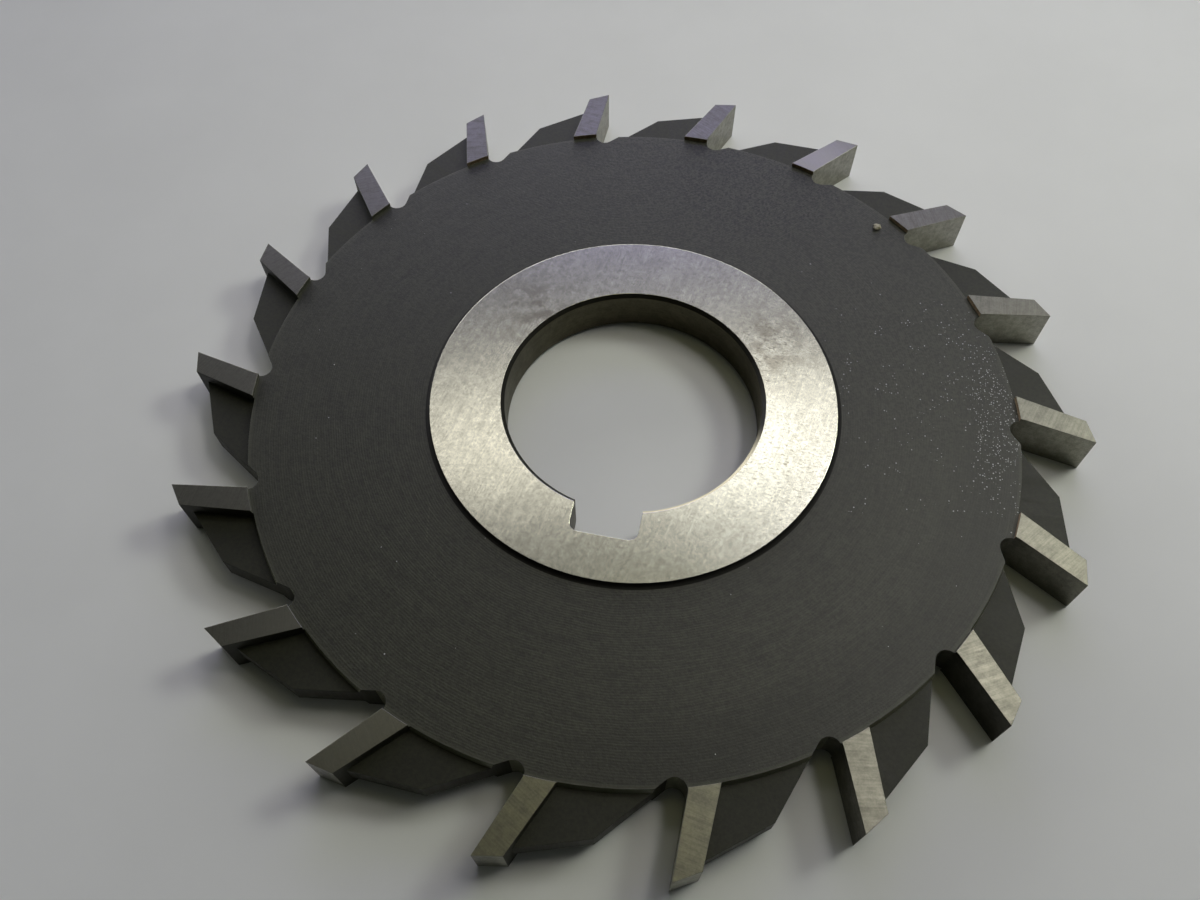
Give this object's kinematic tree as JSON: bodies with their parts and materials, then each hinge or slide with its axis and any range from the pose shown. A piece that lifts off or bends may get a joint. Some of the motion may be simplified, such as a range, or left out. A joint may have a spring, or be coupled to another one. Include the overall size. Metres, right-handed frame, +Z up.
{
  "type": "side milling cutter",
  "caption": "Thin straight-tooth side milling cutter: a disc with raked teeth round its rim, side lands, a raised hub and a keyed bore.",
  "frame": {"origin": "on the cutter's axis, in the plane of the side face that it lies on", "axes": "+Z up along the cutter's axis, -Y from the axis towards the keyway, teeth facing clockwise as seen from +Z"},
  "size_m": [0.0886, 0.0884, 0.0048],
  "materials": {
    "black_oxide_steel": "dark heat-treated finish with fine turned rings on the web",
    "ground_steel": "surface-ground, on the hub and the lands"
  },
  "bodies": {
    "root": {"milling_cutter": "black_oxide_steel"}
  },
  "joints": []
}
